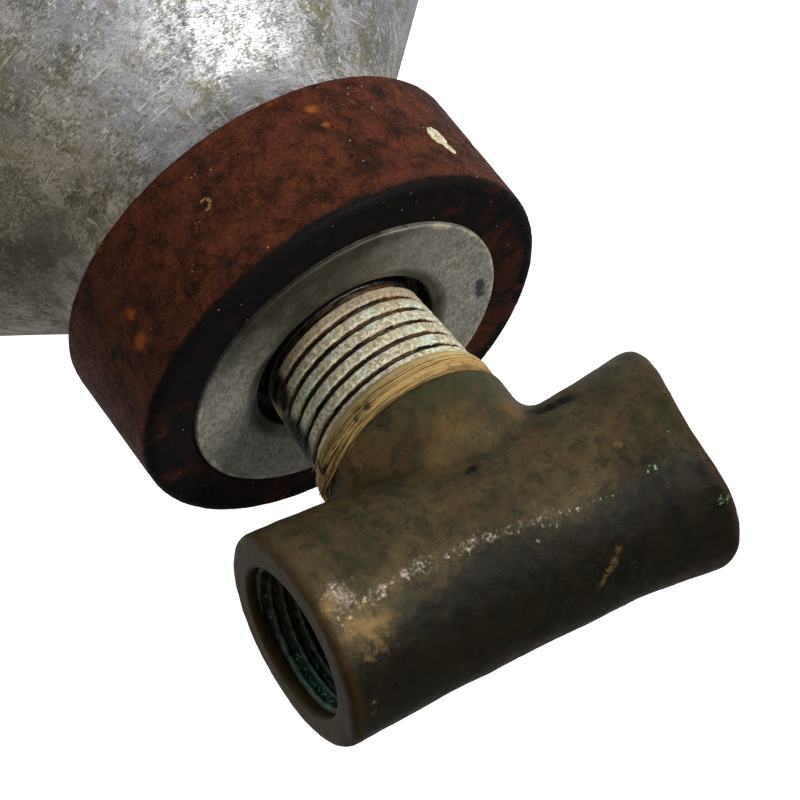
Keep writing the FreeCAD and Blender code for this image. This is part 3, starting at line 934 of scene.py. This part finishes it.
def tee_marks(points):
    """Where the tee is rubbed and given a painted highlight, painted black as shade (partly dark patina
    and black marks), gold, green or ochre, as fields.
    """
    x, y, z = points.T
    turn = np.degrees(np.arctan2(z, y)) % 360
    # Rubbed streak along the run's near ridge that also stands for the highlight there, and a bright
    # dented spot that is partly a painted highlight.
    ridge = WEAR_AND_SHEEN_RIDGE + 5 * np.sin(x / 7.0)
    width = 7.5 + 2.5 * ease(x, -5, 20)
    wear_and_sheen = 0.6 - np.abs(turn - ridge) / width
    wear_and_sheen = np.where((x > -12) & (x < 24), wear_and_sheen, wear_and_sheen - np.abs(x - 6) / 30)
    wear_and_sheen = wear_and_sheen - 0.4 * ease(-x, -2, 10)
    wear_and_sheen = np.maximum(wear_and_sheen, spots(points, [(21.5, -10.4, 3.4, 2.0)]) + 0.3)
    wear_and_sheen = np.where(np.hypot(y, z) > 9.5, wear_and_sheen, -1)
    gold = spots(points, [
        (20.5, -8.6, 6.6, 3.7), (22.9, -10.3, 3.9, 2.0), (-11.6, -10.8, 1.3, 0.7),
        (-13.2, -10.8, 1.6, 0.6), (21.9, -1.9, 10.7, 0.8), (21.7, -3.1, 10.5, 0.6),
        (6.0, -8.5, -4.1, 0.9), (9.4, -5.0, -12.6, 2.0),
    ])
    verdigris = spots(points, [
        (-16.6, -10.6, 2.4, 0.9), (-19.9, -5.8, 9.2, 1.6), (-20.9, -4.0, 10.1, 1.4),
        (0.8, -8.8, 6.5, 1.0), (-1.5, -9.4, 5.6, 0.9), (-13.3, -9.7, 5.0, 0.8),
        (-20.3, 6.0, 8.5, 1.6), (12.0, 8.0, 7.0, 1.2),
    ])
    # Painted shade over the run's upper side and inside its bores, partly dark patina; the stroke and
    # small spots are black marks.
    edge = 157 + 8 * ease(-x, 6, 13) - 22 * ease(x, 13, 20) + 5 * np.sin(x / 2.6)
    far_blend = 16 * ease(-x, 4, 12)
    below = ease(edge - turn, -12 - far_blend, 16 + far_blend) * ease(turn, 50, 100)
    black = np.max([
        0.05 + 0.95 * below,
        1.6 * stroke(points, (-8.3, -8.1, -7.4), (-11.6, -8.4, -7.0), 1.6),
        0.6 * spots(points, [(22.0, -5.0, -9.5, 5.0), (-14.0, -9.5, -4.5, 4.0)]),
        2 * spots(points, [(2.2, -10.2, -3.2, 0.8), (3.0, -10.2, -3.0, 0.5)]),
        1.4 - np.hypot(y, z) / 8.6,
    ], axis=0)
    green = 0.9 * ease(-z, 7.0, 12.5) * ease(-x, -8.0, -1.0) - 0.2
    ochre = spots(points, [
        (8.2, -6.2, -12.0, 5.0), (9.2, -3.5, -13.0, 4.0), (1.5, -10.2, -9.0, 3.0),
        (4.0, -9.5, -6.0, 3.0), (-6.5, -8.5, -8.5, 3.0), (-8.0, 8.0, -9.0, 5.0),
        (6.0, 9.0, -6.0, 5.0),
    ])
    ochre = np.maximum(ochre, 3 * spots(points, [(6.0, -8.5, -4.1, 1.0)]))
    gold = np.maximum(gold, 0.6 * stroke(points, (-4.5, -2.7, 10.6), (-7.2, -5.8, 9.2), 0.65))
    past_a = x - end_reach(1, y, z)
    past_b = -x - end_reach(-1, y, z)
    rim = np.maximum(ease(past_a, -1.7, -0.3), ease(past_b, -1.4, -0.3))
    return {
        "wear_and_sheen": wear_and_sheen, "gold": gold, "verdigris": verdigris, "black": black,
        "green": green, "ochre": ochre, "rim": rim,
    }


STEM_TURNS = 480
STEM_SLOPE = 0.06
PITCH = 1.814
GROOVE_START = 17.63
GROOVE_TURN = math.atan2(-0.889, 0.458)
GROOVE_DEPTH = 0.75


def stem():
    """The tapered stem with its right-hand thread, closed at both ends round the gas way."""
    foot = SHOULDER - STEM_LENGTH
    top = SHOULDER + 0.3
    foot_radius = STEM_RADIUS - STEM_SLOPE * STEM_LENGTH
    thread_low = FACE - 3.5
    thread_high = SHOULDER - 1.2
    corners = [
        (STEM_BORE, foot),
        (foot_radius - 1, foot),
        (foot_radius, foot + 1),
        (STEM_RADIUS - STEM_SLOPE * (SHOULDER - thread_low), thread_low),
        (STEM_RADIUS - STEM_SLOPE * (SHOULDER - thread_high), thread_high),
        (STEM_RADIUS, top),
        (STEM_BORE, top),
    ]

    def step(at):
        return 0.09 if at[0] > STEM_BORE + 3 and thread_low < at[1] < thread_high else 3.0
    points, faces = turned(divided(np.array(corners), True, step), STEM_TURNS, closed=True)
    angle, radius = polar(points)
    height = points[:, 2]
    away = (height - SEAT - GROOVE_START) / PITCH - (angle - GROOVE_TURN) / TURN
    away = away - np.round(away)
    phase = np.abs(away)
    ragged = 0.02 * rough(points, 0.8, 3) + 0.012 * lumps(points, 0.25, 4.0)
    groove = 1 - ease(phase + ragged, 0.115, 0.22)
    crust = 0.03 * rough(points, 0.9, 3, 2.0) + 0.03 * lumps(points, 0.22, 7.0)
    shown = (height > thread_low - 0.2) & (height < SHOULDER - 1.0) & (radius > STEM_BORE + 3)
    points = pushed_out(points, np.where(shown, -GROOVE_DEPTH * groove + crust * (1 - groove), 0))
    # Two patches where the crests take the dark groove colour.
    dark_crests = [(-5.0, FACE + 1.0, 3.0, 3.5), (12.0, FACE + 6.0, 4.0, 5.0)]
    piece = make_mesh("tee_stem", points, faces, {
        # below the face the crests fade to the groove colour: painted shade inside the mouth
        "crest": ease(phase, 0.12, 0.23) * ease(height, FACE - 0.7, FACE - 0.1),
        "flank": 1 - np.abs(away + 0.15) / 0.04,
        "tan": ease(height, FACE + 2.3, FACE + 1.2),
        "dark_crests": 2 * round_spots(angle, height, 9.5, dark_crests),
    })
    return finish_piece(piece, stem_finish())


PORT_TURNS = 220
PORT_PITCH = 1.337
MOUTH_LIP = 0.6


def port_thread(name, side):
    """The thread cut in one port: a sleeve sunk in the casting, side 1 for +X and -1 for -X."""
    back = (END_A if side > 0 else END_B) - PORT_DEPTH
    outer = PORT_MAJOR + 0.35
    rows = np.linspace(0, 1, 100)
    line = [(outer, 0.0), (outer, 1.0)] + [(PORT_RADIUS, 1 - r) for r in rows]
    points, faces = turned(np.array(line), PORT_TURNS, closed=True)
    angle, radius = polar(points)
    across, up = np.cos(angle), np.sin(angle)
    front = end_reach(side, across * PORT_MAJOR, up * PORT_MAJOR) - MOUTH_LIP
    depth = back + (front - back) * points[:, 2]
    turns = depth / PORT_PITCH - side * angle / TURN
    phase = np.abs(turns - np.round(turns)) * 2
    ragged = 0.15 * lumps(points * (0.2, 0.2, 4.0), 0.8)
    wave = ease(phase + ragged, 0.15, 0.85)
    fade = ease(depth, front - 0.7, front - 0.1)
    cut = (PORT_MAJOR - PORT_RADIUS) * np.maximum(wave, fade)
    inner = radius < outer - 0.1
    placed = np.stack([depth, across * radius, up * radius], axis=1)
    wide = radius + np.where(inner, cut + 0.06 * rough(placed, 0.9, 3), 0)
    placed = np.stack([side * depth, across * wide, up * wide + AXIS], axis=1)
    if side < 0:
        faces = [f[:, ::-1] for f in faces]
    low = np.cos(angle - math.radians(8)) * ease(depth, back, front)
    piece = make_mesh(name, placed, faces, {"low": low})
    return finish_piece(piece, port_finish())


CRYSTALS = 260
CRYSTAL_DEPTH = 21.6


def crystals():
    """Copper salts grown on the wall of port a: little tilted blocks."""
    cube = np.array([[x, y, z] for x in (-1, 1) for y in (-1, 1) for z in (-1, 1)], float)
    faces = np.array([
        [0, 1, 3, 2], [4, 6, 7, 5], [0, 4, 5, 1], [2, 3, 7, 6], [0, 2, 6, 4], [1, 5, 7, 3],
    ])
    all_points, all_faces = [], []
    wall = PORT_RADIUS + 0.55
    for k in range(CRYSTALS):
        turn = math.radians(rng.normal(4, 26))
        depth = CRYSTAL_DEPTH - abs(rng.normal(0, 0.5)) - (k % 3 == 0) * rng.exponential(1.6)
        size = rng.uniform(0.03, 0.11)
        centre = np.array([depth, wall * math.cos(turn), AXIS + wall * math.sin(turn)])
        tilt = np.array(Matrix.Rotation(rng.uniform(0, TURN), 3, Vector(rng.normal(size=3))))
        block = cube * rng.uniform(0.6, 1.3, 3) * size + rng.normal(size=(8, 3)) * size * 0.15
        all_points.append(block @ tilt.T + centre)
        all_faces.append(faces + 8 * k)
    points = np.concatenate(all_points)
    piece = make_mesh("copper_salts", points, [np.concatenate(all_faces)], smooth=False)
    return finish_piece(piece, crystal_finish())


# ---- the hemp

HEMP_TURNS = 360
HEMP_INNER = STEM_RADIUS - 0.7
HEMP_RADIUS = 10.4
HEMP_LOW = 25.8
HEMP_BULGE = 0.55
HEMP_HOLES = [
    (-54.0, 27.75, 0.55, 0.4), (-45.0, 27.9, 0.4, 0.4), (-6.0, 27.7, 0.45, 1.1), (-9.5, 28.2, 1.0, 0.3),
]
STRANDS = 150


def hemp_shape(angle):
    """Lower edge, upper edge and bulge radius of the packing at an angle round the stem."""
    frayed = 0.5 + 0.5 * np.cos(angle - math.radians(2))
    low = SEAT + HEMP_LOW + 0.5 * frayed - 0.35 * np.cos(angle - NEAR_SIDE)
    high = SHOULDER + 0.1 + 1.0 * frayed ** 3
    radius = 10.15 + 0.55 * frayed ** 2
    return low, high, radius


def hemp_core():
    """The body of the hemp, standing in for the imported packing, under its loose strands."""
    angle = np.arange(HEMP_TURNS) * TURN / HEMP_TURNS
    low, high, radius = hemp_shape(angle)
    share = np.linspace(0, 1, 22)
    layers = []
    for s in share:
        bulge = np.sin(s * math.pi) ** HEMP_BULGE
        r = HEMP_INNER + 0.25 + (radius - HEMP_INNER - 0.35) * bulge
        layers.append(at_angle(r, angle, low + (high - low) * s))
    for s in (0.97, 0.03):
        layers.append(at_angle(HEMP_INNER, angle, low + (high - low) * s))
    points = np.stack(layers, axis=1).reshape(-1, 3)
    count = len(layers)
    grooved = 0.07 * lumps(points * (0.15, 0.15, 1.0), 0.22) + 0.06 * lumps(points, 1.5)
    outside = polar(points)[1] > HEMP_INNER + 0.3
    points = pushed_out(points, grooved * outside)
    holes = round_spots(np.repeat(angle, count), points[:, 2] - SEAT, HEMP_RADIUS, HEMP_HOLES)
    piece = make_mesh("hemp_core", points, [lattice(HEMP_TURNS, count, True, True)], {
        "tint": np.full(len(points), 0.35),
        # painted shade where the surface is pushed in and at the gaps
        "crevice_shade": np.clip(np.maximum(0.2 - 5 * grooved, 1.5 * holes), 0, 1),
        "rise": np.tile(np.append(share, [1, 0]), HEMP_TURNS),
    })
    return finish_piece(piece, hemp_finish(), "hemp_packing")


def tube(path, radius, sides=5):
    """Points and quads of a thin tube with closed, pinched ends."""
    ahead = np.gradient(path, axis=0)
    ahead /= np.linalg.norm(ahead, axis=1)[:, None]
    outward = path * (1, 1, 0)
    outward /= np.linalg.norm(outward, axis=1)[:, None]
    across = np.cross(ahead, outward)
    across /= np.linalg.norm(across, axis=1)[:, None]
    over = np.cross(across, ahead)
    count = len(path)
    taper = np.minimum(1, np.minimum(np.arange(count), np.arange(count)[::-1]) / 4 + 0.15) * radius
    angle = np.arange(sides) * TURN / sides
    circle = np.cos(angle)[:, None] * across[:, None, :] + np.sin(angle)[:, None] * over[:, None, :]
    points = (path[:, None, :] + circle * taper[:, None, None]).reshape(-1, 3)
    first = np.arange(sides)
    caps = np.stack([first[::-1], (count - 1) * sides + first])
    return points, lattice(count, sides, False, True)[:, [0, 3, 2, 1]], caps


def strands():
    """Loose hemp fibres wound over the core, with frayed ends at the packing's thick side."""
    all_points, all_quads, all_caps, tints, rises = [], [], [], [], []
    total = 0
    for k in range(STRANDS):
        frayed_end = k % 6 == 0
        length = rng.uniform(1.2, 4.4)
        start = rng.uniform(0, TURN) if not frayed_end else rng.normal(0, 0.25) - length
        steps = int(28 * length) + 8
        t = np.linspace(0, 1, steps)
        angle = start + length * t
        low, high, radius = hemp_shape(angle)
        share = rng.uniform(0.03, 0.97)
        drift = rng.normal(0, 0.12)
        wave = 0.05 * np.sin(t * rng.uniform(4, 14) + rng.uniform(0, TURN))
        at = np.clip(share + drift * (t - 0.5) + wave, 0.01, 0.99)
        bulge = np.sin(at * math.pi) ** HEMP_BULGE
        r = HEMP_INNER + 0.3 + (radius - HEMP_INNER - 0.35) * bulge + rng.uniform(-0.02, 0.09)
        if frayed_end:
            r = r + rng.uniform(0.1, 0.7) * ease(t, 0.86, 1.0)
        path = at_angle(r, angle, low + (high - low) * at)
        points, quads, caps = tube(path, rng.uniform(0.035, 0.1))
        all_points.append(points)
        all_quads.append(quads + total)
        all_caps.append(caps + total)
        tints.append(np.full(len(points), rng.uniform(0, 1)))
        rises.append(np.full(len(points), share))
        total += len(points)
    points = np.concatenate(all_points)
    faces = [np.concatenate(all_quads), np.concatenate(all_caps)]
    holes = round_spots(polar(points)[0], points[:, 2] - SEAT, HEMP_RADIUS, HEMP_HOLES)
    piece = make_mesh("hemp_strands", points, faces, {
        "tint": np.concatenate(tints),
        # painted shade at the gaps
        "crevice_shade": np.clip(2.5 * holes, 0, 1),
        "rise": np.concatenate(rises),
    })
    return finish_piece(piece, hemp_finish())


# ---- the stage

FLOOR_CORNERS = 96
FLOOR_RADIUS = 9000.0


def floor():
    """The plain floor that the cylinder stands on."""
    corner = np.arange(FLOOR_CORNERS)
    points = at_angle(FLOOR_RADIUS, corner * TURN / FLOOR_CORNERS, 0.0)
    piece = make_mesh("floor", points, [corner[None, :]], smooth=False)
    piece.data.materials.append(floor_finish())


CAMERA_AZIMUTH = math.radians(-62.4975)
CAMERA_HEIGHT = math.radians(27.5245)
CAMERA_ROLL = math.radians(-142.0127)
CAMERA_AWAY = 344.38
CAMERA_LENS = 155.197
AIM = (-1.2003, -0.6224, 363.9325)


def towards(azimuth, elevation):
    """Unit vector with that azimuth from +X and elevation."""
    flat = math.cos(elevation)
    return Vector((flat * math.cos(azimuth), flat * math.sin(azimuth), math.sin(elevation)))


def camera():
    """The camera at the photograph's place, angle and roll."""
    data = bpy.data.cameras.new("camera")
    data.lens = CAMERA_LENS
    data.sensor_width = 36
    data.clip_start = 0.01
    data.clip_end = 50
    made = bpy.data.objects.new("camera", data)
    back = towards(CAMERA_AZIMUTH, CAMERA_HEIGHT)
    level = (-back).cross(Vector((0, 0, 1))).normalized()
    upright = level.cross(-back)
    up = upright * math.cos(CAMERA_ROLL) + level * math.sin(CAMERA_ROLL)
    right = (-back).cross(up)
    place = (Vector(AIM) + back * CAMERA_AWAY) * MM
    made.matrix_world = Matrix.Translation(place) @ Matrix((right, up, back)).transposed().to_4x4()
    bpy.context.scene.collection.objects.link(made)
    bpy.context.scene.camera = made


def softbox(name, azimuth, elevation, away, size, power):
    """A square area light facing the neck, from an azimuth and elevation in degrees."""
    data = bpy.data.lights.new(name, "AREA")
    data.size = size
    data.energy = power
    made = bpy.data.objects.new(name, data)
    direction = towards(math.radians(azimuth), math.radians(elevation))
    made.location = Vector((0, 0, SEAT * MM)) + direction * away
    made.rotation_mode = "QUATERNION"
    made.rotation_quaternion = direction.to_track_quat("Z", "Y")
    bpy.context.scene.collection.objects.link(made)


SKY_LIGHT = 0.2


def sky():
    """An even white backdrop for the camera, and a dim grey sky for everything it lights."""
    world = bpy.data.worlds.new("sky")
    world.use_nodes = True
    tree = world.node_tree
    tree.nodes.clear()
    inputs = {0: add_node(tree, "ShaderNodeLightPath").outputs["Is Camera Ray"]}
    for key, strength in ((1, SKY_LIGHT), (2, 1.0)):
        backdrop = add_node(tree, "ShaderNodeBackground", {"Color": WHITE, "Strength": strength})
        inputs[key] = backdrop.outputs[0]
    chosen = add_node(tree, "ShaderNodeMixShader", inputs).outputs[0]
    add_node(tree, "ShaderNodeOutputWorld", {0: chosen})
    bpy.context.scene.world = world


def lights():
    """A large key from the camera's right, and a weak fill from its left."""
    softbox("key", -120, 35, 1.2, 0.5, 19)
    softbox("fill", -20, 25, 1.5, 0.8, 1.2)


camera()
sky()
lights()
floor()
shell()
ring()
paint_chip()
casting()
stem()
port_thread("port_a_thread", 1)
port_thread("port_b_thread", -1)
crystals()
hemp_core()
strands()

bpy.context.scene.view_settings.view_transform = "Standard"
